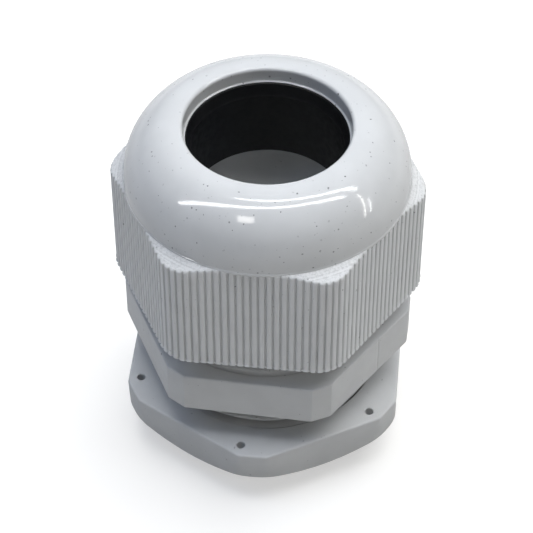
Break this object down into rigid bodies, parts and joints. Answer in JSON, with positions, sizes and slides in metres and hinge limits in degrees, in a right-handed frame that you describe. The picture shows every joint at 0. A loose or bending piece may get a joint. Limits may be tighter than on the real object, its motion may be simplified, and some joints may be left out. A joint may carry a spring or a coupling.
{
  "type": "cable gland",
  "caption": "Domed nylon cable gland: ribbed sealing nut over a rubber sleeve, hexagonal body with a tapered pipe thread, and a lock nut to clamp it in a panel hole.",
  "frame": {"origin": "centre of the entry thread's end face, on the bore's axis; the gland stands on that face", "axes": "+Z along the bore towards the sealing nut, -Y square to one flat of the body's hexagon"},
  "size_m": [0.0368, 0.0362, 0.0452],
  "materials": {
    "body_nylon": "moulded light grey nylon, satin",
    "seal_rubber": "matt black synthetic rubber",
    "nut_nylon": "moulded light grey nylon, polished dome and matt ribs",
    "lock_nut_nylon": "moulded light grey nylon, satin"
  },
  "bodies": {
    "gland_body": {"gland_body": "body_nylon"},
    "seal_insert": {"seal_insert": "seal_rubber"},
    "sealing_nut": {"sealing_nut": "nut_nylon"},
    "lock_nut": {"lock_nut": "lock_nut_nylon"}
  },
  "joints": [
    {"name": "seal_travel", "type": "slide", "parent": "gland_body", "child": "seal_insert", "axis": [0, 0, 1], "range_m": [-0.0038, 0.0065]},
    {"name": "nut_turn", "type": "hinge", "parent": "seal_insert", "child": "sealing_nut", "pos_m": [0, 0, 0.0225], "axis": [0, 0, 1], "range_deg": [-684, 1170]},
    {"name": "lock_nut_travel", "type": "slide", "parent": "gland_body", "child": "lock_nut", "axis": [0, 0, 1], "range_m": [-0.0083, 0.0046]}
  ],
  "couplings": [
    {"joint": "seal_travel", "follows": "nut_turn", "m_per_rad": 0.00031831}
  ]
}
